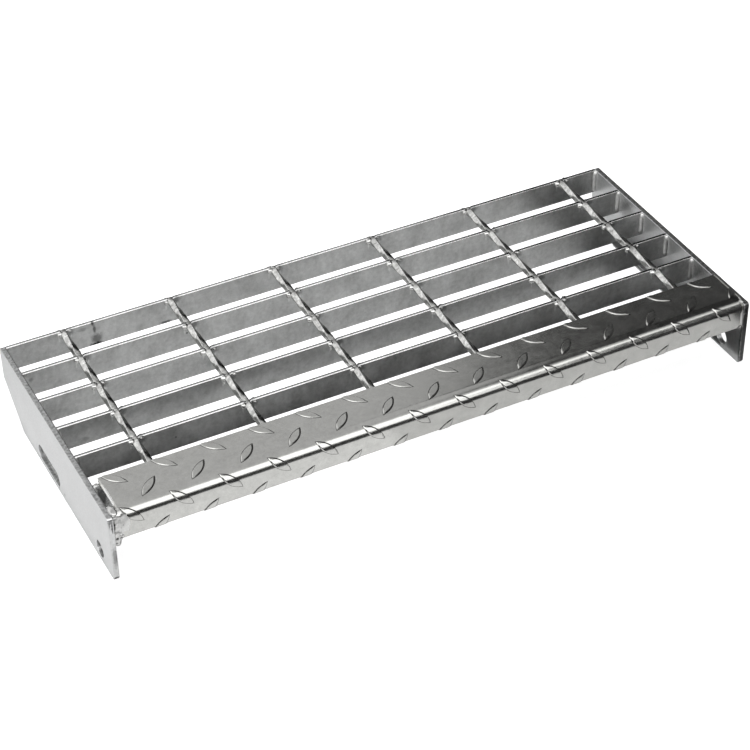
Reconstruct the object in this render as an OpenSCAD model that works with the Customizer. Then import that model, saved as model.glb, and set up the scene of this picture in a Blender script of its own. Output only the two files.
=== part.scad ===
// Steel grating stair tread: flat bearing bars with twisted cross rods forged into
// their tops, a bolt-on plate at each end, and a folded chequer-plate nosing.
// Millimetres, +X along the bearing bars, -Y to the nosing, +Z up. The origin lies
// midway between the end plates and midway along their depth, on the floor under them.

/* [Tread] */
// Overall length, over the outer faces of the end plates
tread_length = 600; // [300:10:1200]
// Overall depth, along an end plate from rear edge to front edge
tread_depth = 250; // [210:5:400]

/* [Bearing bars] */
// Depth of a bearing bar, from top to bottom
bar_height = 25; // [20:5:35]
// Thickness of a bearing bar
bar_thickness = 3; // [2:0.5:5]
// Radius of the two long edges along the top of a bearing bar
bar_edge = 1; // [0.3:0.1:2]
// Spacing of the bearing bars, centre to centre
bar_pitch = 41; // [30:1:60]
// Distance of the rear bar from the rear edge of the end plates
bar_setback = 1; // [0:0.5:5]

/* [Cross rods] */
// Side of the square rod that is twisted
rod_side = 5; // [4:0.5:6]
// Length of rod that holds one full turn of the twist
rod_turn = 160; // [80:5:240]
// Spacing of the cross rods, centre to centre
rod_pitch = 100; // [50:5:120]
// Distance of the first rod from the outer face of the left end plate
rod_first = 57; // [20:1:90]
// Depth of the twist's highest corners below the top of the bars
rod_sink = 0.3; // [0.1:0.1:1]
// Length of rod that stands out behind the rear bar
rod_overhang = 0.5; // [0:0.1:1]
// Least distance from a rod's centre line to an end plate
rod_end_space = 8; // [6:1:20]

/* [Welds] */
// Leg of the fillet weld between the front of a bar's end and the end plate
bar_weld = 2.5; // [1.5:0.5:5]
// Distance of a bar's weld from the top and from the bottom of the bar
bar_weld_end = 1.5; // [0.5:0.5:6]
// Leg of the weld along the right end of the nosing, on top of the end plate
nosing_weld = 2.5; // [1:0.5:4]
// Depth of the weld that fills the nosing's left gap below the surface of its front leg
nosing_weld_sink = 0.6; // [0.2:0.2:1]
// Length of that weld along the top leg, behind the bend
nosing_weld_run = 3; // [1:1:20]

/* [End plates] */
// Thickness of an end plate
plate_thickness = 5; // [3:0.5:8]
// Height of an end plate
plate_height = 65; // [60:1:90]
// Radius of the square corners of an end plate
plate_corner = 3; // [1:0.5:6]
// Length of the sloping cut at the rear bottom corner, along the bottom edge
cut_length = 42; // [20:1:60]
// Height of the sloping cut, along the rear edge
cut_height = 33; // [20:1:45]
// Diameter of the front bolt hole and width of the rear bolt slot
bolt_hole = 15; // [10:0.5:18]
// Height of both bolt centres above the bottom edge
bolt_height = 12; // [12:0.5:20]
// Distance of the front bolt hole from the front edge
bolt_front = 28; // [20:1:40]
// Distance between the front bolt hole and the middle of the rear slot
bolt_spacing = 116; // [60:1:120]
// Length of the rear slot, over its rounded ends
slot_length = 51; // [25:1:52]

/* [Nosing] */
// Thickness of the chequer plate, without its lugs
nosing_thickness = 3; // [2:0.5:4]
// Width of the top leg, from its rear edge to the front face
nosing_width = 45; // [35:1:60]
// Outside radius of the bend
nosing_bend = 6; // [4.5:0.5:9]
// Distance of the front face behind the front edges of the end plates
nosing_setback = 1; // [1:0.5:5]
// Distance that the rear edge stands out behind the last bearing bar
nosing_lap = 2; // [0:0.5:6]
// Gap between the nosing and the left end plate, which the end weld fills
nosing_gap_left = 6; // [0.5:0.5:8]
// Gap between the nosing and the right end plate, which the end weld fills
nosing_gap_right = 1; // [0.5:0.5:8]

/* [Chequer lugs] */
// Length of a lug, from point to point
lug_length = 26; // [18:1:30]
// Width of a lug across its middle
lug_width = 8; // [5:0.5:10]
// Height of a lug above the plate
lug_height = 1; // [0.5:0.1:1]
// Spacing of the lugs along the two diagonals of the pattern
lug_pitch = 30; // [24:1:36]
// Distance of the first lug of the rear row from the left end of the nosing
lug_first = 10.5; // [0:0.5:40]
// Distance of the rear row of lugs from the rear edge of the nosing
lug_rear = 6; // [0:0.5:20]

/* [Hidden] */
$fn = 64;
facet_step = 15;             // degrees of twist for each slice of a rod
lug_root = 1;                // depth to which a lug or a weld runs into the plate
slip = 1;                    // overrun of a cutting shape past what it cuts
bend_slices = 3;             // slices of the bend that the lugs follow

// Where things lie
plate_inner = tread_length / 2 - plate_thickness;
rear_edge = tread_depth / 2;
bars_top = plate_height;
first_bar = rear_edge - bar_setback;                       // rear face of the rear bar
nosing_front = -rear_edge + nosing_setback;
nosing_rear = nosing_front + nosing_width;
last_bar = nosing_rear - nosing_lap;                       // rear face of the last bar
nosing_left = -plate_inner + nosing_gap_left;
nosing_right = plate_inner - nosing_gap_right;
nosing_top = bars_top + nosing_thickness;
nosing_drop = bar_height + nosing_thickness;               // front leg ends level with the bars

// The bars keep their pitch from the rear, and the last one lies under the nosing
bar_spaces = round((first_bar - last_bar) / bar_pitch);
bar_faces = [for (i = [0 : bar_spaces - 1]) first_bar - i * bar_pitch, last_bar];
rod_count = floor((tread_length - plate_thickness - rod_end_space - rod_first) / rod_pitch) + 1;
rod_length = first_bar + rod_overhang - last_bar + bar_thickness;
rod_axis_z = bars_top - rod_sink - rod_side * sqrt(2) / 2;

// The lugs stand on a square grid turned by 45 degrees, in rows half a step apart.
// Rows are measured from the rear edge over the top, round the bend and down the front.
row_step = lug_pitch / sqrt(2);
lug_step = 2 * row_step;
top_flat = nosing_width - nosing_bend;
bend_arc = nosing_bend * PI / 2;
lug_arc_radius = (pow(lug_length / 2, 2) + pow(lug_width / 2, 2)) / lug_width;

// Section of a bearing bar: x runs from its front face to its rear, y up from its bottom
module bar_section() {
    round = min(bar_edge, 0.45 * bar_thickness);
    square([bar_thickness, bar_height - round]);
    translate([round, 0])
        square([bar_thickness - 2 * round, bar_height]);
    for (x = [round, bar_thickness - round])
        translate([x, bar_height - round])
            circle(round);
}

// One bearing bar, with its rear face at y
module bearing_bar(y)
    translate([-plate_inner, y - bar_thickness, bars_top - bar_height])
        rotate([90, 0, 90])
            linear_extrude(height = 2 * plate_inner)
                bar_section();

// The upright weld between the front face of a bar at y and the end plate on that side
module bar_end_weld(y, side)
    translate([side * plate_inner, y, bars_top - bar_height + bar_weld_end])
        intersection() {
            cylinder(r = bar_weld, h = bar_height - 2 * bar_weld_end);
            translate([side > 0 ? -bar_weld : 0, -bar_weld, 0])
                cube([bar_weld, bar_weld + bar_thickness / 2, bar_height]);
        }

// One cross rod: a square bar with a right-handed twist, running to the front from the rear bar
module cross_rod(x) {
    turned = 360 * rod_length / rod_turn;
    translate([x, first_bar + rod_overhang, rod_axis_z])
        rotate([90, 0, 0])
            linear_extrude(height = rod_length, twist = -turned, slices = ceil(turned / facet_step), $fn = 4)
                square(rod_side, center = true);
}

// Bearing bars and cross rods, forged into one panel
module grating()
    color([0.62, 0.64, 0.65]) {
        for (y = bar_faces) {
            bearing_bar(y);
            for (side = [-1, 1])
                bar_end_weld(y - bar_thickness, side);
        }
        for (i = [0 : rod_count - 1])
            cross_rod(-tread_length / 2 + rod_first + i * rod_pitch);
    }

// What is cut away to round a square corner that lies at the origin, its sides along +X and +Y
module corner_waste()
    difference() {
        translate([-slip, -slip])
            square(plate_corner + slip);
        translate([plate_corner, plate_corner])
            circle(plate_corner);
    }

// Outline of an end plate: x runs from the front edge to the rear, y up from the bottom
module plate_outline()
    difference() {
        polygon([
            [0, 0],
            [tread_depth - cut_length, 0],
            [tread_depth, cut_height],
            [tread_depth, plate_height],
            [0, plate_height]
        ]);
        corner_waste();
        translate([0, plate_height])
            mirror([0, 1])
                corner_waste();
        translate([tread_depth, plate_height])
            rotate(180)
                corner_waste();
    }

// Bolt hole and bolt slot, as cutting shapes in the frame of plate_outline
module bolt_holes() {
    half_run = (slot_length - bolt_hole) / 2;
    drill = plate_thickness + 2 * slip;
    translate([bolt_front, bolt_height, -slip])
        cylinder(d = bolt_hole, h = drill);
    translate([bolt_front + bolt_spacing, bolt_height, -slip]) {
        for (side = [-1, 1])
            translate([side * half_run, 0, 0])
                cylinder(d = bolt_hole, h = drill);
        translate([-half_run, -bolt_hole / 2, 0])
            cube([2 * half_run, bolt_hole, drill]);
    }
}

// An end plate, standing on its bottom edge, with its left face at x
module end_plate(x)
    translate([x, -rear_edge, 0])
        rotate([90, 0, 90])
            difference() {
                linear_extrude(height = plate_thickness)
                    plate_outline();
                bolt_holes();
            }

module left_end_plate()
    color([0.80, 0.81, 0.82])
        end_plate(-tread_length / 2);

module right_end_plate()
    color([0.80, 0.81, 0.82])
        end_plate(plate_inner);

// A rectangle with its outer corner at the origin, reaching w back and h down, that corner rounded
module rounded_block(w, h, r) {
    translate([0, -h])
        square([w, h - r]);
    translate([r, -r])
        square([w - r, r]);
    translate([r, -r])
        circle(r);
}

// Section of the folded plate: x runs back from the front face, y up to the top face
module nosing_section()
    difference() {
        rounded_block(nosing_width, nosing_drop, nosing_bend);
        translate([nosing_thickness, -nosing_thickness])
            rounded_block(nosing_width, nosing_drop, nosing_bend - nosing_thickness);
    }

// Extrudes a section of the nosing over its length
module along_nosing()
    translate([nosing_left, nosing_front, nosing_top])
        rotate([90, 0, 90])
            linear_extrude(height = nosing_right - nosing_left)
                children();

// Plan of a lug: two arcs that meet in points, its length along x
module lug_outline()
    intersection_for (side = [-1, 1])
        translate([0, side * (lug_arc_radius - lug_width / 2)])
            circle(lug_arc_radius, $fn = 128);

// One row of upright lugs in the plane z = 0. Odd rows start half a step on and lean the other way
module lug_row(row, height) {
    odd = row % 2;
    start = lug_first + odd * row_step;
    count = floor((nosing_right - nosing_left + lug_length / 2 - start) / lug_step) + 1;
    for (i = [0 : count - 1])
        translate([nosing_left + start + i * lug_step, 0, -lug_root])
            rotate(odd ? 45 : -45)
                linear_extrude(height = height + lug_root)
                    lug_outline();
}

// The two rows on the top leg, trimmed to its edges
module top_lugs()
    intersection() {
        for (row = [0, 1])
            translate([0, nosing_rear - lug_rear - row * row_step, nosing_top])
                lug_row(row, lug_height);
        translate([nosing_left, nosing_rear - top_flat, nosing_top - 2 * lug_root])
            cube([nosing_right - nosing_left, top_flat, 2 * lug_root + 2 * lug_height]);
    }

// The slice of the bend's skin between two angles, measured up from the front face
module bend_skin(from, to) {
    reach = 2 * nosing_bend;
    along_nosing()
        translate([nosing_bend, -nosing_bend])
            intersection() {
                difference() {
                    circle(nosing_bend + lug_height);
                    circle(nosing_bend - lug_root);
                }
                polygon([[0, 0], reach * [-cos(from), sin(from)], reach * [-cos(to), sin(to)]]);
            }
}

// The row that crosses the bend. Each slice of the bend carries the part of the row that
// a flat sheet would have there, and the rest lies flat on the front face
module bend_lugs() {
    below_bend = lug_rear + 2 * row_step - top_flat - bend_arc;
    slice = 90 / bend_slices;
    for (i = [0 : bend_slices - 1])
        intersection() {
            bend_skin(i * slice, (i + 1) * slice);
            translate([0, nosing_front + nosing_bend, nosing_top - nosing_bend])
                rotate([90 - (i + 0.5) * slice, 0, 0])
                    translate([0, -below_bend - (i + 0.5) / bend_slices * bend_arc, nosing_bend])
                        lug_row(2, lug_height + slip);
        }
    intersection() {
        translate([0, nosing_front, nosing_top - nosing_bend - below_bend])
            rotate([90, 0, 0])
                lug_row(2, lug_height);
        translate([nosing_left, nosing_front - 2 * lug_height, nosing_top - nosing_bend - lug_length])
            cube([nosing_right - nosing_left, 2 * lug_root + 2 * lug_height, lug_length]);
    }
}

// The row at the bottom of the front leg, which the edge of the plate cuts through
module front_lugs() {
    row_z = nosing_top - nosing_bend - (lug_rear + 3 * row_step - top_flat - bend_arc);
    intersection() {
        translate([0, nosing_front, row_z])
            rotate([90, 0, 0])
                lug_row(3, lug_height);
        translate([nosing_left, nosing_front - 2 * lug_height, nosing_top - nosing_drop])
            cube([nosing_right - nosing_left, 2 * lug_root + 2 * lug_height, nosing_drop]);
    }
}

// The weld in the gap at the left: it follows the front leg and the bend, a little below them
module left_end_weld() {
    sink = nosing_weld_sink;
    inner = nosing_thickness - sink / 2;
    run = nosing_bend + nosing_weld_run;
    translate([-plate_inner, nosing_front, nosing_top])
        rotate([90, 0, 90])
            linear_extrude(height = nosing_gap_left + lug_root)
                difference() {
                    translate([sink, -sink])
                        rounded_block(run, nosing_drop - 2 * sink, nosing_bend - sink);
                    translate([inner, -inner])
                        rounded_block(run, nosing_drop, nosing_bend - inner);
                }
}

// The weld at the right: it closes the gap and rounds down onto the top of the end plate
module right_end_weld() {
    leg = min(nosing_weld, nosing_thickness);
    corner = nosing_gap_right + lug_root;
    translate([nosing_right - lug_root, nosing_rear - leg, bars_top])
        rotate([90, 0, 0])
            linear_extrude(height = top_flat - 2 * leg) {
                square([corner, leg]);
                translate([corner, 0])
                    intersection() {
                        circle(leg);
                        square(leg);
                    }
            }
}

// Folded chequer plate along the front, lying on the last bearing bar
module nosing()
    color([0.55, 0.56, 0.56]) {
        along_nosing()
            nosing_section();
        top_lugs();
        bend_lugs();
        front_lugs();
        left_end_weld();
        right_end_weld();
    }

grating();
left_end_plate();
right_end_plate();
nosing();
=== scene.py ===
"""Steel grating stair tread: the looks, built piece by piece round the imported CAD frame."""
import math
import random
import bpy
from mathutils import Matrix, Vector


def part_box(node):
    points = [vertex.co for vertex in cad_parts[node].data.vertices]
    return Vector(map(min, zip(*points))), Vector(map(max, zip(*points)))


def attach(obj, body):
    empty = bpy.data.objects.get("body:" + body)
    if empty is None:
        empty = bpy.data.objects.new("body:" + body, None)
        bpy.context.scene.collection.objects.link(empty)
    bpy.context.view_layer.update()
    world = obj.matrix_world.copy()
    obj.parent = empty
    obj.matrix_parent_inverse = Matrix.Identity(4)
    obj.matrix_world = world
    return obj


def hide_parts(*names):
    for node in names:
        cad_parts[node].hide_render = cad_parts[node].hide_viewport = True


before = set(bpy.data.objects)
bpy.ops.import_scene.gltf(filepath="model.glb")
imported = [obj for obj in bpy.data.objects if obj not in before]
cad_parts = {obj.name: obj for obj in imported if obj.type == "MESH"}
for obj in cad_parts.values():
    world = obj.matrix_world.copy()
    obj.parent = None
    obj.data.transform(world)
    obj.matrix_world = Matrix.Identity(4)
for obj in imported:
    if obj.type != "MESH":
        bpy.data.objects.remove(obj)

from types import SimpleNamespace

import bmesh
import bpy
from mathutils import Matrix, Vector, noise

scene = bpy.context.scene
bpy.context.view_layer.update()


# --- Bearing bars ------------------------------------------------------------------
# Six flat bars of hot-rolled steel, 25 x 3 mm, that carry the load from end to end.
# Rolling leaves their long edges rounded, and the whole tread is dipped in zinc after
# welding, so that the edges catch the light as a thin bright line.

MM = 0.001
panel_low, panel_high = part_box("grating")
left_low, left_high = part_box("left_end_plate")
right_low, right_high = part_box("right_end_plate")

bar_thickness = 3 * MM
bar_pitch = 41 * MM
bar_count = 6
bar_crown = 0.35 * MM
bar_ridge = 0.2 * MM
bar_ridge_share = 0.36
bar_top_edge = 0.6 * MM
bar_bottom_edge = 0.5 * MM
rod_overhang = 0.5 * MM
bars_top = left_high.z
bars_bottom = panel_low.z
bar_rear_faces = [panel_high.y - rod_overhang - i * bar_pitch for i in range(bar_count)]

rod_pitch = 100 * MM
rod_first = 57 * MM
rod_count = 6
rod_places = [left_low.x + rod_first + i * rod_pitch for i in range(rod_count)]
notch_floor = 2.2 * MM
notch_mouth = 3.6 * MM
notch_depth = 0.9 * MM
notch_reach = 1.2 * MM


def mesh_object(bm, name, material):
    """Makes an object of a bmesh, gives it one material and puts it in the scene."""
    mesh = bpy.data.meshes.new(name)
    bm.to_mesh(mesh)
    bm.free()
    mesh.materials.append(material)
    made = bpy.data.objects.new(name, mesh)
    scene.collection.objects.link(made)
    return made


def piece(bm, name, material, node, smooth_under=35, flat_faces=True):
    """Finishes a piece, rides it on the tread and lets it stand for its CAD node."""
    for face in bm.faces:
        face.smooth = True
    made = mesh_object(bm, name, material)
    made.data.set_sharp_from_angle(angle=math.radians(smooth_under))
    if flat_faces:
        made.modifiers.new("flat faces", "WEIGHTED_NORMAL").keep_sharp = True
    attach(made, "root")
    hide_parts(node)


def block(bm, low, high):
    """Adds a box between two corners."""
    low, high = Vector(low), Vector(high)
    made = bmesh.ops.create_cube(bm, size=1)["verts"]
    bmesh.ops.scale(bm, vec=high - low, verts=made)
    bmesh.ops.translate(bm, vec=(low + high) / 2, verts=made)


def slice_through(bm, place, normal, clear=False):
    """Cuts a mesh along a plane; with clear, what lies beyond it goes, and the cut is closed."""
    cut = bmesh.ops.bisect_plane(bm, geom=bm.verts[:] + bm.edges[:] + bm.faces[:], dist=1e-7,
                                 plane_co=place, plane_no=normal, clear_outer=clear)
    if clear:
        rim = [g for g in cut["geom_cut"] if isinstance(g, bmesh.types.BMEdge)]
        bmesh.ops.holes_fill(bm, edges=rim, sides=0)


def round_edges(bm, edges, radius, segments):
    """Rounds edges with the same settings everywhere."""
    bmesh.ops.bevel(bm, geom=edges, offset=radius, offset_type="OFFSET", segments=segments,
                    profile=0.5, affect="EDGES", material=-1, clamp_overlap=True)


def wiring(tree):
    """Short forms for a node tree, each of which makes one node and returns its output."""
    def feed(socket, value):
        if isinstance(value, bpy.types.NodeSocket):
            tree.links.new(value, socket)
        else:
            socket.default_value = value

    def add(kind, feeds, output=0, **settings):
        made = tree.nodes.new("ShaderNode" + kind)
        for title, value in settings.items():
            setattr(made, title, value)
        for socket, value in feeds.items():
            feed(made.inputs[socket], value)
        return made.outputs[output]

    def coordinates(kind):
        return add("TexCoord", {}, kind)

    def calc(operation, *values):
        return add("Math", dict(enumerate(values)), operation=operation)

    def vector(operation, *values):
        return add("VectorMath", dict(enumerate(values)), operation=operation)

    def scaled(value, share):
        return add("VectorMath", {0: value, "Scale": share}, operation="SCALE")

    def cloud(place, scale, detail=2, distortion=0.0):
        return add("TexNoise", {"Vector": place, "Scale": scale, "Detail": detail,
                                "Distortion": distortion}, "Fac")

    def ramp(value, start, end, low=0.0, high=1.0, **settings):
        return add("MapRange", {"Value": value, "From Min": start, "From Max": end,
                                "To Min": low, "To Max": high}, "Result", **settings)

    return SimpleNamespace(feed=feed, add=add, coordinates=coordinates, calc=calc, vector=vector,
                           scaled=scaled, cloud=cloud, ramp=ramp)


def node_group(name, inputs, outputs):
    """An empty node group, its short forms and its two ends; sockets are given as title and kind."""
    group = bpy.data.node_groups.new(name, "ShaderNodeTree")
    for in_out, sockets in (("INPUT", inputs), ("OUTPUT", outputs)):
        for title, kind in sockets.items():
            group.interface.new_socket(title, in_out=in_out, socket_type="NodeSocket" + kind)
    given = group.nodes.new("NodeGroupInput").outputs
    result = group.nodes.new("NodeGroupOutput").inputs
    return group, wiring(group), given, result


def zinc_group():
    """Node group: hot-dip zinc, with soft clouds, mottling, runs down the sides and a fine grain."""
    group, wire, given, result = node_group(
        "zinc_skin",
        {"Colour": "Color", "Cloud Scale": "Float", "Contrast": "Float", "Grain": "Float",
         "Runs": "Float", "Smoothest": "Float", "Roughest": "Float"},
        {"Colour": "Color", "Roughness": "Float", "Height": "Float"})
    place = wire.coordinates("Object")
    mottle = wire.cloud(place, 260, 3)
    broad = wire.calc("MULTIPLY", wire.cloud(place, given["Cloud Scale"], 3, 0.6), 0.6)
    both = wire.calc("MULTIPLY_ADD", mottle, 0.4, broad)
    hanging = wire.vector("MULTIPLY", place, (1, 1, 0.22))
    runs = wire.calc("MULTIPLY", wire.calc("SUBTRACT", wire.cloud(hanging, 170), 0.5), given["Runs"])
    fine = wire.cloud(place, 700)
    specks = wire.calc("MULTIPLY_ADD", wire.calc("SUBTRACT", fine, 0.5), given["Grain"], runs)
    swing = wire.calc("MULTIPLY_ADD", wire.calc("SUBTRACT", both, 0.5), given["Contrast"], specks)
    level = wire.calc("MULTIPLY_ADD", swing, 4.0, 1.0)
    height = wire.calc("MULTIPLY_ADD", mottle, 0.75, wire.calc("MULTIPLY", fine, 0.25))
    wire.feed(result["Colour"], wire.scaled(given["Colour"], level))
    wire.feed(result["Roughness"], wire.ramp(both, 0.38, 0.62, given["Smoothest"], given["Roughest"]))
    wire.feed(result["Height"], height)
    return group


def stain_group():
    """Node group: a mark with a soft, ragged edge, laid again at every pitch; all in metres."""
    group, wire, given, result = node_group(
        "stain",
        {"Colour": "Color", "Centre": "Vector", "Reach": "Vector", "Every": "Vector",
         "Darkness": "Float"},
        {"Colour": "Color"})
    place = wire.coordinates("Object")
    away = wire.vector("SUBTRACT", place, given["Centre"])
    nearest = wire.vector("WRAP", away, wire.scaled(given["Every"], 0.5), wire.scaled(given["Every"], -0.5))
    share = wire.vector("DIVIDE", nearest, given["Reach"])
    distance = wire.add("VectorMath", {0: share}, "Value", operation="LENGTH")
    ragged = wire.calc("MULTIPLY_ADD", wire.cloud(place, 450, 3), 0.9, distance)
    covered = wire.ramp(ragged, 1.6, 0.8, interpolation_type="SMOOTHSTEP")
    left = wire.calc("SUBTRACT", 1.0, wire.calc("MULTIPLY", covered, given["Darkness"]))
    wire.feed(result["Colour"], wire.scaled(given["Colour"], left))
    return group


zinc_skin = zinc_group()
stain = stain_group()


def zinc(name, colour, cloud_scale, contrast, smoothest, roughest, relief, grain=0.06, runs=0.0,
         marks=()):
    """A galvanised finish, with its marks laid over it one after another."""
    made = bpy.data.materials.new(name)
    made.use_nodes = True
    wire = wiring(made.node_tree)
    skin = wire.add("Group", {"Colour": (*colour, 1), "Cloud Scale": cloud_scale, "Contrast": contrast,
                              "Grain": grain, "Runs": runs, "Smoothest": smoothest,
                              "Roughest": roughest}, node_tree=zinc_skin).node.outputs
    coloured = skin["Colour"]
    for centre, reach, darkness, every in marks:
        coloured = wire.add("Group", {"Colour": coloured, "Centre": centre, "Reach": reach,
                                      "Every": every, "Darkness": darkness}, node_tree=stain)
    bump = wire.add("Bump", {"Strength": 1.0, "Distance": relief, "Height": skin["Height"]}, "Normal")
    shader = made.node_tree.nodes["Principled BSDF"].inputs
    shader["Metallic"].default_value = 1.0
    wire.feed(shader["Base Color"], coloured)
    wire.feed(shader["Roughness"], skin["Roughness"])
    wire.feed(shader["Normal"], bump)
    return made


def shade_by(material, wire, level):
    """Multiplies a material's colour by a level that changes over the surface."""
    colour = material.node_tree.nodes["Principled BSDF"].inputs["Base Color"]
    wire.feed(colour, wire.scaled(colour.links[0].from_socket, level))


no_repeat = 10
endless = 10000


def mark(corner, offset, reach, darkness, every=(no_repeat, no_repeat, no_repeat)):
    """A mark on the zinc, dark, or light where its darkness is below nought.

    Its offset from a corner of the tread and its reach are in mm; every is the pitch in metres at
    which it comes again."""
    return Vector(corner) + Vector(offset) * MM, Vector(reach) * MM, darkness, every


# Each bar is marked from the place where the first rod crosses its top front edge. A run down the
# rear bar ends in a dark foot, and scuffs and spots lie here and there. Both ends of the front bar,
# under the nosing, and the right ends of all bars beside the right plate carry painted shade. Where
# a rod is pressed in, the zinc carries painted shade beside and below the rod, with pale strokes in it.
crossings = (rod_pitch, bar_pitch, no_repeat)
on_bar = [Vector((rod_places[0], rear - bar_thickness, bars_top)) for rear in bar_rear_faces]
bar_run = [mark(on_bar[0], (26.5, 0, -1.5), (1.8, 3, 3.0), 0.8),
           mark(on_bar[0], (27.8, 0, -8.0), (1.8, 3, 5.0), 0.7),
           mark(on_bar[0], (29.0, 0, -19.0), (6.0, 3, 7.0), 0.6),
           mark(on_bar[0], (28.5, 0, -24.2), (7.0, 3, 2.2), 0.92)]
bar_scuffs_and_end_shade = [mark(on_bar[0], (17.0, 0, -5.0), (5.0, 3, 2.5), 0.35),
              mark(on_bar[0], (93.5, 0, -23.5), (6.0, 3, 1.6), 0.7),
              mark(on_bar[1], (97.6, 0, -10.0), (1.3, 3, 1.3), 0.8),
              mark(on_bar[1], (-45.5, 0, -8.7), (2.5, 3, 2.5), 0.4),
              mark(on_bar[4], (34.8, 0, -12.7), (1.3, 3, 1.3), 0.6),
              # Painted shade: the front bar's left end seen through the gap under the nosing, its right end,
              # and every bar's right end beside the right plate.
              mark(on_bar[5], (-47.0, 0, -13.0), (9.0, 3, 16.0), 0.85),
              mark(on_bar[5], (515.0, 0, -17.0), (14.0, 3, 14.0), 0.35),
              mark(on_bar[0], (521.0, 0, -15.0), (14.0, 4, 22.0), 0.2, (no_repeat, bar_pitch, no_repeat)),
              mark(on_bar[3], (-29.0, 0, -20.0), (4.0, 3, 3.0), 0.3)]
# Painted shade beside and below each rod crossing, with a paler stroke on either side of the rod.
crossing_shade_and_strokes = [mark(on_bar[0], (4.0, 0, -3.5), (6.0, 4, 4.5), 0.5, crossings),
             mark(on_bar[0], (-4.5, 0, -8.0), (1.0, 4, 3.5), -0.3, crossings),
             mark(on_bar[0], (6.5, 0, -7.5), (1.0, 4, 3.0), -0.25, crossings)]
bar_zinc = zinc("bar_zinc", (0.56, 0.565, 0.56), cloud_scale=38, contrast=0.34, runs=0.05, smoothest=0.33,
                roughest=0.38, relief=0.02 * MM, marks=bar_run + bar_scuffs_and_end_shade + crossing_shade_and_strokes)


def polish_tops_and_paint_arris_light(material, share, gain):
    """Makes what faces upward smoother, with a painted highlight on the front arris and painted shade on the
    rear one.
    """
    wire = wiring(material.node_tree)
    facing = wire.add("SeparateXYZ", {0: wire.coordinates("Normal")}).node.outputs
    rough = material.node_tree.nodes["Principled BSDF"].inputs["Roughness"]
    upward = wire.ramp(facing["Z"], 0.2, 0.7, 1.0, share)
    wire.feed(rough, wire.calc("MULTIPLY", rough.links[0].from_socket, upward))
    # Painted highlight where the top tilts forward, painted shade where it tilts back.
    forward = wire.calc("MULTIPLY", wire.calc("MULTIPLY", facing["Y"], -1.5), facing["Z"])
    shade_by(material, wire, wire.ramp(forward, -0.2, 0.25, 1.0 - (gain - 1.0) * 0.8, gain))


polish_tops_and_paint_arris_light(bar_zinc, share=0.4, gain=1.75)

for number, rear in enumerate(bar_rear_faces, start=1):
    front = rear - bar_thickness
    crest = front + bar_thickness * bar_ridge_share
    bm = bmesh.new()
    block(bm, (left_high.x, front, bars_bottom), (right_low.x, rear, bars_top - bar_crown))
    slice_through(bm, (0, crest, 0), (0, 1, 0))
    along = [e for e in bm.edges if abs(e.verts[0].co.x - e.verts[1].co.x) > bar_pitch]
    high = [e for e in along if e.verts[0].co.z > bars_bottom + bar_crown]
    ridge = [e for e in high if abs(e.verts[0].co.y - crest) < bar_ridge]
    low_edges = [e for e in along if e not in high and abs(e.verts[0].co.y - crest) > bar_ridge]
    bmesh.ops.translate(bm, vec=(0, 0, bar_crown), verts=[v for e in ridge for v in e.verts])
    round_edges(bm, [e for e in high if e not in ridge], bar_top_edge, 3)
    round_edges(bm, [e for e in ridge if e.is_valid], bar_ridge, 2)
    round_edges(bm, [e for e in low_edges if e.is_valid], bar_bottom_edge, 2)
    for x in rod_places:
        for side in (-notch_mouth, -notch_floor, notch_floor, notch_mouth):
            slice_through(bm, (x + side, 0, 0), (1, 0, 0))
    for v in bm.verts:
        beside = min(abs(v.co.x - x) for x in rod_places)
        if beside < (notch_floor + notch_mouth) / 2 and v.co.z > bars_top - notch_reach:
            v.co.z -= notch_depth
    piece(bm, f"bearing_bar_{number}", bar_zinc, "grating")


# --- Cross rods --------------------------------------------------------------------
# Six square bars, 5 mm, twisted cold and pressed red-hot into the tops of the bearing
# bars, so that only the twist's own corners reach the walking surface.

rod_side = 5.8 * MM
rod_corner = 0.8 * MM
rod_turn = 160 * MM
rod_depth = 3.8 * MM
rod_step = 2.2 * MM
rod_rear = panel_high.y
rod_front = bar_rear_faces[-1] - bar_thickness
rod_axis_z = bars_top - rod_depth
rod_length = rod_rear - rod_front
rod_steps = round(rod_length / rod_step)

# Painted shade at the crossings, and down the right flank of every rod.
rod_painted_shade = [mark(on_bar[0], (2.0, 1.5, -2.0), (4.5, 4.0, 6.0), 0.5, crossings),
             mark(on_bar[0], (3.4, 0, -4.0), (3.0, endless, 7.0), 0.85, crossings)]
rod_zinc = zinc("rod_zinc", (0.66, 0.66, 0.645), cloud_scale=260, contrast=0.5, smoothest=0.16,
                roughest=0.26, relief=0.10 * MM, marks=rod_painted_shade)


def roughen(bm, depth, size, start=0.0):
    """Moves a skin in and out by a smooth random amount, as metal that set quickly."""
    bm.normal_update()
    shift = Vector((start, start, start))
    for v in bm.verts:
        v.co += v.normal * depth * noise.noise(v.co / size + shift)


def keep_within(bm, low, high):
    """Presses back whatever a rough skin pushed past the tread's own outline."""
    for v in bm.verts:
        for axis in range(3):
            v.co[axis] = min(max(v.co[axis], low[axis]), high[axis])


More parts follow.
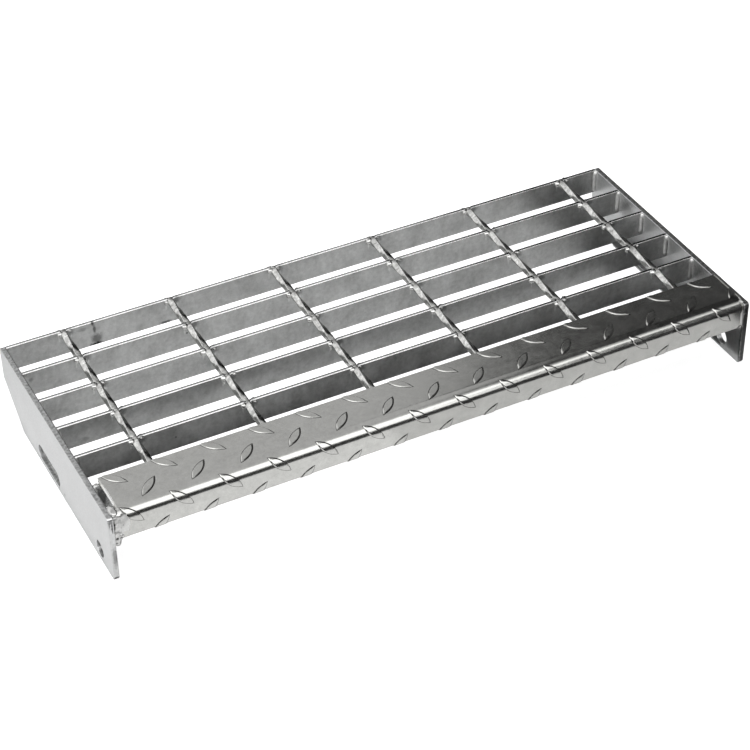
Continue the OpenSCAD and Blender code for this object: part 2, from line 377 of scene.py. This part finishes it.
for number, x in enumerate(rod_places, start=1):
    bm = bmesh.new()
    corners = bmesh.ops.create_circle(bm, cap_ends=True, radius=rod_side / math.sqrt(2), segments=4)["verts"]
    bmesh.ops.rotate(bm, verts=corners, matrix=Matrix.Rotation(math.radians(45), 3, "Z"))
    bmesh.ops.rotate(bm, verts=corners, matrix=Matrix.Rotation(math.radians(90), 3, "X"))
    bmesh.ops.bevel(bm, geom=corners, offset=rod_corner, offset_type="OFFSET", segments=1, profile=0.5,
                    affect="VERTICES", material=-1, clamp_overlap=True)
    bmesh.ops.translate(bm, vec=(x, rod_rear, rod_axis_z), verts=bm.verts)
    bmesh.ops.spin(bm, geom=bm.verts[:] + bm.edges[:] + bm.faces[:], cent=(x, 0, rod_axis_z),
                   axis=(0, -1, 0), dvec=(0, -rod_length / rod_steps, 0), steps=rod_steps,
                   angle=2 * math.pi * rod_length / rod_turn, use_merge=False, use_duplicate=False)
    bmesh.ops.recalc_face_normals(bm, faces=bm.faces)
    roughen(bm, depth=0.35 * MM, size=4 * MM, start=number)
    keep_within(bm, panel_low, panel_high)
    piece(bm, f"cross_rod_{number}", rod_zinc, "grating", smooth_under=75)


# --- Forge flash -------------------------------------------------------------------
# Pressing each rod into the bars squeezes a ragged collar of steel out of the joint, and
# the zinc gathers there and runs a little way down the bar's front face.

chance = random.Random(41)
collar_reach = Vector((4.8, 2.6, 3.4)) * MM
collar_wander = 0.6 * MM
collar_drop = 0.3 * MM
knob_reach = Vector((3.4, 2.5, 3.0)) * MM
knob_aside = (3.0 * MM, 4.0 * MM)
knob_below = (2.8 * MM, 3.4 * MM)
crumb_reach = Vector((1.9, 1.4, 1.2)) * MM
crumb_aside = (4.0 * MM, 6.5 * MM)
crumb_below = (1.4 * MM, 2.4 * MM)
crumb_share = 0.75
drip_reach = Vector((1.1, 0.8, 3.0)) * MM
drip_wander = 5 * MM
drip_share = 0.7
# Painted shade on the flash to the right of each rod crossing.
flash_crossing_shade = mark(on_bar[0], (4.0, 1.5, -3.0), (3.6, 5.0, 4.0), 0.65, crossings)
flash_zinc = zinc("flash_zinc", (0.72, 0.72, 0.705), cloud_scale=320, contrast=0.45, smoothest=0.20,
                  roughest=0.32, relief=0.10 * MM, marks=[flash_crossing_shade])


def ball(bm, centre, reach, around=12, rings=8):
    """Adds a squashed ball."""
    made = bmesh.ops.create_uvsphere(bm, u_segments=around, v_segments=rings, radius=1)["verts"]
    bmesh.ops.scale(bm, vec=reach, verts=made)
    bmesh.ops.translate(bm, vec=centre, verts=made)


bm = bmesh.new()
for rear in bar_rear_faces:
    front = rear - bar_thickness
    for x in rod_places:
        ball(bm, (x + chance.uniform(-collar_wander, collar_wander), (front + rear) / 2,
                  rod_axis_z - collar_drop), collar_reach * chance.uniform(0.9, 1.1))
        for skin in (front, rear):
            ball(bm, (x - chance.uniform(*knob_aside), skin, bars_top - chance.uniform(*knob_below)),
                 knob_reach * chance.uniform(0.8, 1.1), 10, 6)
            if chance.random() < crumb_share:
                ball(bm, (x + chance.uniform(*crumb_aside), skin, bars_top - chance.uniform(*crumb_below)),
                     crumb_reach * chance.uniform(0.8, 1.3), 10, 6)
        if chance.random() < drip_share:
            fall = chance.uniform(0.6, 1.4)
            ball(bm, (x + chance.uniform(-drip_wander, drip_wander), front,
                      rod_axis_z - fall * drip_reach.z / 2),
                 (drip_reach.x, drip_reach.y, drip_reach.z * fall), 8, 6)
roughen(bm, depth=0.6 * MM, size=1.8 * MM)
keep_within(bm, panel_low, Vector((panel_high.x, panel_high.y, bars_top)))
piece(bm, "forge_flash", flash_zinc, "grating", smooth_under=80, flat_faces=False)


# --- End plates --------------------------------------------------------------------
# Two plates, 5 mm thick, sheared to length with a sloping cut at the rear, then punched
# with a round hole and a slot for the bolts to the stringers. Their edges are eased by
# the zinc, which runs thicker there.

plate_edge = 0.7 * MM

# Painted shade in the left plate's hole and slot and along its top inner edge; stains on its front edge;
# two drips beside its slot. The right plate's front edge and two patches on its inner face, beside the
# welds, carry painted shade.
hole_shade = [mark(left_low, (2.5, 28.0, 12.0), (1.5, 11.0, 11.0), 0.7),
              mark(left_low, (2.5, 144.0, 12.0), (1.5, 34.0, 11.0), 0.7),
              mark(left_low, (4.9, 125.0, 65.0), (1.0, 300.0, 2.0), 0.6)]
front_edge_stains = [mark(left_low, (2.8, 0, 24.0), (1.9, 3.0, 13.0), 0.5),
                     mark(left_low, (2.5, 0, 61.0), (2.6, 3.0, 2.6), 0.55),
                     mark(left_low, (3.4, 0, 55.0), (0.9, 3.0, 6.0), 0.8),
                     mark(left_low, (1.4, 0, 58.0), (0.7, 3.0, 4.0), 0.6),
                     mark(left_low, (4.2, 0, 26.0), (0.7, 3.0, 12.0), 0.5),
                     mark(left_low, (2.7, 0, 1.4), (3.2, 3.0, 2.4), 0.85)]
slot_drips = [mark(left_low, (0, 121.5, 5.3), (3.0, 1.6, 1.6), 0.6),
              mark(left_low, (0, 108.5, 6.6), (3.0, 1.2, 1.8), 0.45)]
right_plate_shade = [mark(right_low, (2.5, 0, 32.0), (4.5, 3.0, 60.0), 0.9),
                     mark(right_low, (0, 59.0, 50.0), (3.0, 22.0, 18.0), 0.5),
                     mark(right_low, (0, 187.0, 50.0), (3.0, 14.0, 14.0), 0.4)]
plate_marks = hole_shade + front_edge_stains + slot_drips + right_plate_shade
plate_zinc = zinc("plate_zinc", (0.80, 0.805, 0.805), cloud_scale=24, contrast=0.08, smoothest=0.33,
                  roughest=0.38, relief=0.02 * MM, marks=plate_marks)


def mottle_rims_and_paint_shade(material, reach, dull):
    """Darkens what doesn't face sideways with a mottled shade: rough zinc on the sheared rims, with painted
    shade most where they face up.
    """
    wire = wiring(material.node_tree)
    facing = wire.add("SeparateXYZ", {0: wire.coordinates("Normal")}).node.outputs
    rim = wire.ramp(wire.calc("ABSOLUTE", facing["X"]), 0.75, 0.25)
    torn = wire.calc("MULTIPLY_ADD", wire.cloud(wire.coordinates("Object"), 400, 3), reach, dull - reach / 2)
    # Full painted shade on rims that face up, a fifth of it on those that face forward or back.
    level = wire.calc("MULTIPLY_ADD", wire.calc("ABSOLUTE", facing["Y"]), -0.8, 1.0)
    shade = wire.calc("SUBTRACT", 1.0, wire.calc("MULTIPLY", rim, wire.calc("MULTIPLY", torn, level)))
    shade_by(material, wire, shade)


mottle_rims_and_paint_shade(plate_zinc, reach=1.3, dull=0.36)

for node in ("left_end_plate", "right_end_plate"):
    bm = bmesh.new()
    bm.from_mesh(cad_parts[node].data)
    bmesh.ops.remove_doubles(bm, verts=bm.verts, dist=0.01 * MM)
    bmesh.ops.dissolve_limit(bm, angle_limit=math.radians(1), verts=bm.verts, edges=bm.edges)
    rims = [e for e in bm.edges if len(e.link_faces) == 2 and e.calc_face_angle() > math.radians(40)]
    round_edges(bm, rims, plate_edge, 3)
    piece(bm, node + "_skin", plate_zinc, node)


# --- Bar end welds -----------------------------------------------------------------
# Each bar is welded to both end plates with a short upright run in the corner on its
# front side, laid by hand, so that it swells and thins a little from top to bottom.

bead_radius = 3.1 * MM
bead_end = 1.5 * MM
bead_step = 3.0 * MM
bead_tip = 0.5

# A crack and pits in the weld at the nosing's left end, from the plate's inner front corner.
inner_corner = Vector((left_high.x, left_low.y, left_low.z))
weld_marks = [mark(inner_corner, (0.6, 2.0, 55.0), (1.2, 4.0, 9.0), 0.9),
              mark(inner_corner, (2.0, 1.0, 41.5), (1.5, 3.0, 1.2), 0.8),
              mark(inner_corner, (5.2, 1.0, 41.5), (1.2, 3.0, 1.8), 0.9),
              mark(inner_corner, (1.0, 1.0, 37.0), (1.6, 3.0, 1.0), 0.7),
              mark(inner_corner, (7.8, 1.0, 54.0), (0.8, 3.0, 1.0), 0.5)]
weld_zinc = zinc("weld_zinc", (0.68, 0.68, 0.67), cloud_scale=180, contrast=0.22, smoothest=0.28,
                 roughest=0.38, relief=0.04 * MM, marks=weld_marks)


def carry_on(bm, face, move, grow, close=False):
    """Extrudes a face along a move and resizes its new end; with close, the old face stays."""
    made = bmesh.ops.extrude_face_region(bm, geom=[face])["geom"]
    if not close:
        bmesh.ops.delete(bm, geom=[face], context="FACES_ONLY")
    ring = [g for g in made if isinstance(g, bmesh.types.BMVert)]
    centre = sum((v.co for v in ring), Vector()) / len(ring)
    bmesh.ops.scale(bm, vec=(grow, grow, grow), space=Matrix.Translation(-centre), verts=ring)
    bmesh.ops.translate(bm, vec=move, verts=ring)
    return next(g for g in made if isinstance(g, bmesh.types.BMFace))


def bead(bm, start, end, radius):
    """Lays a run of weld between two points: a round bar whose thickness wavers."""
    start, run = Vector(start), Vector(end) - Vector(start)
    steps = max(3, round(run.length / bead_step))
    ring = bmesh.ops.create_circle(bm, cap_ends=True, radius=radius * bead_tip, segments=10)["verts"]
    bmesh.ops.rotate(bm, verts=ring, matrix=run.to_track_quat("Z", "Y").to_matrix())
    bmesh.ops.translate(bm, vec=start, verts=ring)
    face = ring[0].link_faces[0]
    size = bead_tip
    for step in range(steps):
        wanted = chance.uniform(0.95, 1.05) if step < steps - 1 else bead_tip
        face = carry_on(bm, face, run / steps, wanted / size, close=step == 0)
        size = wanted


bm = bmesh.new()
for rear in bar_rear_faces:
    for end in (left_high.x, right_low.x):
        bead(bm, (end, rear - bar_thickness, bars_top - bead_end / 2),
             (end, rear - bar_thickness, bars_bottom + bead_end), bead_radius)
bmesh.ops.recalc_face_normals(bm, faces=bm.faces)
roughen(bm, depth=0.10 * MM, size=5 * MM)
slice_through(bm, (left_high.x, 0, 0), (-1, 0, 0), clear=True)
slice_through(bm, (right_low.x, 0, 0), (1, 0, 0), clear=True)
piece(bm, "bar_end_welds", weld_zinc, "grating", smooth_under=60)


# --- Nosing ------------------------------------------------------------------------
# One strip of 3 mm chequer plate, folded over the last bearing bar. Its rolled-in lugs
# lean left and right in turn, row by row, and run on round the bend.

nosing_thickness = 3 * MM
nosing_width = 45 * MM
nosing_drop = 28 * MM
nosing_bend = 10 * MM
nosing_gap_left = 6 * MM
nosing_gap_right = 1 * MM
nosing_setback = 1 * MM
nosing_rim = 0.6 * MM
bend_steps = 18
nosing_left = left_high.x + nosing_gap_left
nosing_right = right_low.x - nosing_gap_right
nosing_front = left_low.y + nosing_setback
nosing_rear = nosing_front + nosing_width
nosing_top = bars_top + nosing_thickness
top_flat = nosing_width - nosing_bend
bend_arc = nosing_bend * math.pi / 2
leg_flat = nosing_drop - nosing_bend
sheet_run = top_flat + bend_arc + leg_flat

# Its left end is lighter along the top beside the weld.
bright_end = mark((nosing_left, nosing_front, nosing_top), (0, 23.0, -1.5), (1.2, 25.0, 4.0), -0.9)
nosing_look = {"colour": (0.585, 0.585, 0.565), "cloud_scale": 70, "contrast": 0.14, "grain": 0.035,
               "smoothest": 0.19, "roughest": 0.23, "relief": 0.01 * MM}
nosing_zinc = zinc("nosing_zinc", marks=[bright_end], **nosing_look)


def fold(bm):
    """Cuts the bend into steps and folds a flat sheet over the press brake.

    In the flat sheet, y runs forward from the rear edge and z is the height above the sheet."""
    for i in range(bend_steps + 1):
        slice_through(bm, (0, top_flat + i / bend_steps * bend_arc, 0), (0, 1, 0))
    for v in bm.verts:
        run, height = v.co.y, v.co.z
        turn = min(max((run - top_flat) / bend_arc, 0), 1) * math.pi / 2
        spare = max(run - top_flat - bend_arc, 0)
        back = min(run, top_flat)
        v.co.y = nosing_rear - back - (nosing_bend + height) * math.sin(turn)
        v.co.z = nosing_top - nosing_bend - spare + (nosing_bend + height) * math.cos(turn)


bm = bmesh.new()
block(bm, (nosing_left, 0, -nosing_thickness), (nosing_right, sheet_run, 0))
fold(bm)
rims = [e for e in bm.edges if len(e.link_faces) == 2 and e.calc_face_angle() > math.radians(60)]
round_edges(bm, rims, nosing_rim, 2)
piece(bm, "nosing_plate", nosing_zinc, "nosing")

lug_length = 26 * MM
lug_width = 8 * MM
lug_height = 1 * MM
lug_root = 0.4 * MM
lug_pitch = 30 * MM
lug_first = 10.5 * MM
lug_rear = 6 * MM
lug_rows = 4
lug_flattened = 0.5
lug_section = [(1.0, 0.03), (0.95, 0.10), (0.86, 0.62), (0.79, 0.92), (0.71, 1.0)]
row_step = lug_pitch / math.sqrt(2)
lug_radius = ((lug_length / 2) ** 2 + (lug_width / 2) ** 2) / lug_width


def lug_mesh():
    """One flat lug, its length along x, standing on the sheet; its section gives width and height."""
    one = bmesh.new()
    half_angle = math.asin(lug_length / 2 / lug_radius)
    for side in (1, -1):
        start = bmesh.ops.create_vert(one, co=(-side * lug_length / 2, 0, -lug_root))["vert"]
        bmesh.ops.spin(one, geom=start, cent=(0, side * (lug_radius - lug_width / 2), 0), axis=(0, 0, 1),
                       dvec=(0, 0, 0), angle=2 * half_angle, steps=10)
    bmesh.ops.remove_doubles(one, verts=one.verts, dist=0.05 * MM)
    face = bmesh.ops.contextual_create(one, geom=one.edges[:])["faces"][0]
    size, height = 1.0, -lug_root
    for share, level in lug_section:
        level *= lug_height
        face = carry_on(one, face, (0, 0, level - height), share / size, close=height < 0)
        size, height = share, level
    bmesh.ops.recalc_face_normals(one, faces=one.faces)
    rise = one.verts.layers.float.new("rise")
    for v in one.verts:
        v[rise] = v.co.z / lug_height
    made = bpy.data.meshes.new("lug")
    one.to_mesh(made)
    one.free()
    return made


def lug_foot_shade(material):
    """Darkens the foot of each lug, where it meets the plate: painted shade in the crease."""
    wire = wiring(material.node_tree)
    rise = wire.add("Attribute", {}, "Fac", attribute_name="rise")
    shade_by(material, wire, wire.ramp(rise, 0.12, 0.35, 0.2, 1.0))


lug_zinc = zinc("lug_zinc", **nosing_look)
lug_foot_shade(lug_zinc)

bm = bmesh.new()
bm.verts.layers.float.new("rise")
flat_lug = lug_mesh()
for row in range(lug_rows):
    odd = row % 2
    x = nosing_left + lug_first + odd * row_step
    while x < nosing_right + lug_length / 2:
        before = set(bm.verts)
        bm.from_mesh(flat_lug)
        new = [v for v in bm.verts if v not in before]
        bmesh.ops.rotate(bm, verts=new, matrix=Matrix.Rotation(math.radians(-45 if odd else 45), 3, "Z"))
        bmesh.ops.translate(bm, vec=(x, lug_rear + row * row_step, 0), verts=new)
        if row == lug_rows - 1:
            bmesh.ops.scale(bm, vec=(1, 1, lug_flattened), verts=new)
        x += 2 * row_step
for place, normal in (((0, 0, 0), (0, -1, 0)), ((0, sheet_run, 0), (0, 1, 0)),
                      ((nosing_left, 0, 0), (-1, 0, 0)), ((nosing_right, 0, 0), (1, 0, 0))):
    slice_through(bm, place, normal, clear=True)
fold(bm)
piece(bm, "nosing_lugs", lug_zinc, "nosing", smooth_under=50)


# --- Nosing end welds --------------------------------------------------------------
# At the left the gap to the end plate is filled from the top corner down the front, in a
# rough mass with a drip below it. At the right one run closes the edge down to the plate.

weld_proud = 0.2 * MM
weld_slit = 0.2 * MM
weld_deep = 5 * MM
weld_over = 1.5 * MM
weld_below_top = 0.5 * MM
weld_foot = 1 * MM
weld_cell = 1.1 * MM
weld_seam = 0.6 * MM
tread_high = Vector((right_high.x, right_high.y, nosing_top))

# Lumps of weld: offset in mm from the nosing's top front corner, reach, and faces around and up.
left_corner = Vector((left_high.x, nosing_front, nosing_top))
left_lumps = [((2.7, 6.5, -2.7), (4.2, 6.5, 2.6), 16, 10),
              ((2.6, 1.8, -29.0), (3.6, 2.4, 6.6), 14, 10),
              ((5.5, 0.8, -25.0), (3.0, 1.7, 2.6), 14, 10),
              ((2.5, 42.0, -3.4), (2.6, 1.6, 1.0), 12, 8),
              ((8.2, 0.6, -14.0), (6.0, 1.3, 11.5), 20, 12)]
right_corner = Vector((nosing_right, nosing_front, nosing_top))
right_lumps = [((-2.3, 45.5, -1.7), (3.2, 2.0, 1.7), 12, 8),
               ((0.2, 3.0, -1.8), (2.2, 2.6, 1.8), 12, 8)]


def lay_lumps(bm, corner, lumps):
    """Adds the lumps of a weld round a corner."""
    for offset, reach, around, rings in lumps:
        ball(bm, corner + Vector(offset) * MM, Vector(reach) * MM, around, rings)


bm = bmesh.new()
low = Vector((left_high.x + weld_slit, nosing_front - weld_proud, nosing_top - nosing_drop + weld_foot))
high = Vector((nosing_left + weld_over, nosing_front + weld_deep, nosing_top - weld_below_top))
block(bm, low, high)
shoulder = [e for e in bm.edges if all(v.co.y < low.y + weld_cell and v.co.z > high.z - weld_cell
                                       for v in e.verts)]
round_edges(bm, shoulder, nosing_bend, 6)
seam = [e for e in bm.edges if all(abs(v.co.x - low.x) < weld_cell / 2 and v.co.y < low.y + weld_cell / 2
                                   for v in e.verts)]
round_edges(bm, seam, weld_seam, 2)
for axis in range(3):
    along = Vector([float(axis == k) for k in range(3)])
    for i in range(1, int((high[axis] - low[axis]) / weld_cell)):
        slice_through(bm, low + along * (i * weld_cell), along)
lay_lumps(bm, left_corner, left_lumps)
roughen(bm, depth=0.8 * MM, size=3.2 * MM, start=5)
roughen(bm, depth=0.25 * MM, size=1.3 * MM, start=9)
keep_within(bm, left_low, tread_high)
piece(bm, "left_nosing_weld", weld_zinc, "nosing", smooth_under=60)

run_radius = 1.9 * MM
top_run_x = nosing_right + 0.8 * MM
top_run_z = nosing_top - run_radius
front_run_x = nosing_right + 0.3 * MM
front_run_y = nosing_front + 1 * MM
bm = bmesh.new()
bead(bm, (top_run_x, nosing_rear - 1 * MM, top_run_z), (top_run_x, nosing_front + 4 * MM, top_run_z),
     run_radius)
bead(bm, (front_run_x, front_run_y, nosing_top - nosing_bend),
     (front_run_x, front_run_y, nosing_top - nosing_drop + weld_foot), run_radius)
bmesh.ops.recalc_face_normals(bm, faces=bm.faces)
lay_lumps(bm, right_corner, right_lumps)
roughen(bm, depth=0.4 * MM, size=1.4 * MM, start=3)
keep_within(bm, left_low, tread_high)
piece(bm, "right_nosing_weld", weld_zinc, "nosing", smooth_under=60)


# --- Floor, light and camera -------------------------------------------------------
# A pale floor, one wide soft light overhead, and dark and bright cards that only the
# metal's reflections see, as a studio uses to give bright metal its edges.

floor_colour = 0.82
floor_radius = 6
white_lift = 0.75
world_level = 0.35
softbox_size = (1.75, 1.50)
softbox_place = (-0.325, -0.27, 1.0)
softbox_watts = 12.4
camera_place = (-0.6685, -1.3318, 1.1770)
camera_turn = (51.931, 0.815, -27.169)
camera_lens = 103.36


def matt(name, shade, glow=0.0):
    """A plain matt grey; with a glow, it shows the same level all over."""
    made = bpy.data.materials.new(name)
    made.use_nodes = True
    shader = made.node_tree.nodes["Principled BSDF"].inputs
    shader["Base Color"].default_value = (shade, shade, shade, 1)
    shader["Roughness"].default_value = 1.0
    shader["Specular IOR Level"].default_value = 0.0
    shader["Emission Color"].default_value = (1, 1, 1, 1)
    shader["Emission Strength"].default_value = glow
    return made


floor_paint = matt("floor_paint", floor_colour)
floor_shader = floor_paint.node_tree.nodes["Principled BSDF"].inputs
floor_shader["Roughness"].default_value = 0.9
wire = wiring(floor_paint.node_tree)
to_camera = wire.add("LightPath", {}, "Is Camera Ray")
wire.feed(floor_shader["Emission Strength"], wire.calc("MULTIPLY", to_camera, white_lift))

bm = bmesh.new()
bmesh.ops.create_circle(bm, cap_ends=True, radius=floor_radius, segments=64)
floor = mesh_object(bm, "floor", floor_paint)

world = bpy.data.worlds.new("studio")
scene.world = world
world.use_nodes = True
world.cycles.sampling_method = "NONE"
background = world.node_tree.nodes["Background"].inputs
background["Color"].default_value = (1, 1, 1, 1)
wire = wiring(world.node_tree)
rays = wire.add("LightPath", {}).node.outputs
seen = wire.calc("MAXIMUM", rays["Is Camera Ray"], rays["Is Glossy Ray"])
wire.feed(background["Strength"], wire.ramp(seen, 0.0, 1.0, world_level, 1.0))

softbox_light = bpy.data.lights.new("softbox", "AREA")
softbox_light.shape = "RECTANGLE"
softbox_light.size, softbox_light.size_y = softbox_size
softbox_light.energy = softbox_watts
softbox = bpy.data.objects.new("softbox", softbox_light)
softbox.location = softbox_place
softbox.visible_camera = False
softbox.visible_glossy = False
scene.collection.objects.link(softbox)

card_clear = 2 * MM
card_black = matt("card_black", 0.03)
# A dark card that stands in for shade on the floor under the tread: painted shadow.
card_shadow = matt("card_shadow", 0.08)
card_dim = matt("card_dim", 0.03, glow=0.04)
card_pale = matt("card_pale", 0.0, glow=0.62)
card_light = matt("card_light", 0.0, glow=0.80)
card_white = matt("card_white", 0.0, glow=1.0)
card_bright = matt("card_bright", 0.0, glow=2.0)


def card(name, size, azimuth, distance, lying=False, skin=card_black, lift=card_clear, aside=0.0):
    """A card that only reflections see: upright and facing the tread, or lying level.

    The azimuth turns it from behind the tread to its right; lift is its height above the floor, and
    aside shifts it along its width."""
    width, height = size
    bm = bmesh.new()
    bmesh.ops.create_grid(bm, x_segments=1, y_segments=1, size=0.5)
    bmesh.ops.scale(bm, vec=(width, height, 1), verts=bm.verts)
    if lying:
        bmesh.ops.translate(bm, vec=(aside, distance + height / 2, lift), verts=bm.verts)
    else:
        bmesh.ops.rotate(bm, verts=bm.verts, matrix=Matrix.Rotation(math.radians(90), 3, "X"))
        bmesh.ops.translate(bm, vec=(aside, distance, lift + height / 2), verts=bm.verts)
    bmesh.ops.rotate(bm, verts=bm.verts, matrix=Matrix.Rotation(math.radians(-azimuth), 3, "Z"))
    made = mesh_object(bm, name, skin)
    for sense in ("visible_camera", "visible_diffuse", "visible_shadow", "visible_transmission"):
        setattr(made, sense, False)


card("front_card", size=(6.0, 0.5), azimuth=180, distance=2.6)
card("front_glow", size=(4.4, 3.3), azimuth=180, distance=2.65, skin=card_bright, lift=0.5)
card("step_card", size=(1.7, 1.5), azimuth=180, distance=2.58, aside=-2.1)
card("high_card", size=(7.0, 5.75), azimuth=0, distance=-2.65, lying=True, skin=card_pale, lift=3.3)
card("corner_card", size=(2.7, 1.9), azimuth=122, distance=2.70)
card("ceiling_card", size=(1.55, 2.0), azimuth=99, distance=0.57, lying=True, lift=1.2, aside=-0.27)
# front_sheet and left_sheet glow on the floor before the nosing and beside the left plate, seen only in
# reflections: painted light on the floor.
card("front_sheet", size=(0.265, 0.085), azimuth=180, distance=0.130, lying=True, skin=card_white,
     aside=0.1525)
card("left_sheet", size=(0.30, 0.12), azimuth=270, distance=0.303, lying=True, skin=card_light)
card("front_cloth", size=(6.0, 2.35), azimuth=180, distance=0.222, lying=True)
# Painted shadow of the nosing on the floor, seen only in the metal's reflections.
card("nosing_shadow_card", size=(0.58, 0.065), azimuth=180, distance=0.063, lying=True, skin=card_shadow)
card("right_card", size=(4.4, 5.0), azimuth=78, distance=2.08, skin=card_dim)
card("right_cloth", size=(4.0, 1.5), azimuth=90, distance=0.33, lying=True)
# Painted shadow on the floor under the tread's right end, seen only in the metal's reflections.
card("right_end_shadow_card", size=(0.19, 0.035), azimuth=90, distance=0.26, lying=True, skin=card_shadow)
card("left_glow", size=(2.0, 3.0), azimuth=245, distance=2.6, skin=card_bright, lift=0.7)
card("rear_card", size=(2.4, 1.25), azimuth=18, distance=2.4)
card("pale_card", size=(1.8, 3.27), azimuth=18, distance=3.1, skin=card_pale)
card("rear_cloth", size=(4.0, 2.1), azimuth=0, distance=0.22, lying=True)

camera_data = bpy.data.cameras.new("camera")
camera_data.sensor_width = 36
camera_data.lens = camera_lens
camera = bpy.data.objects.new("camera", camera_data)
camera.location = camera_place
camera.rotation_euler = [math.radians(a) for a in camera_turn]
scene.collection.objects.link(camera)
scene.camera = camera
scene.view_settings.view_transform = "Standard"
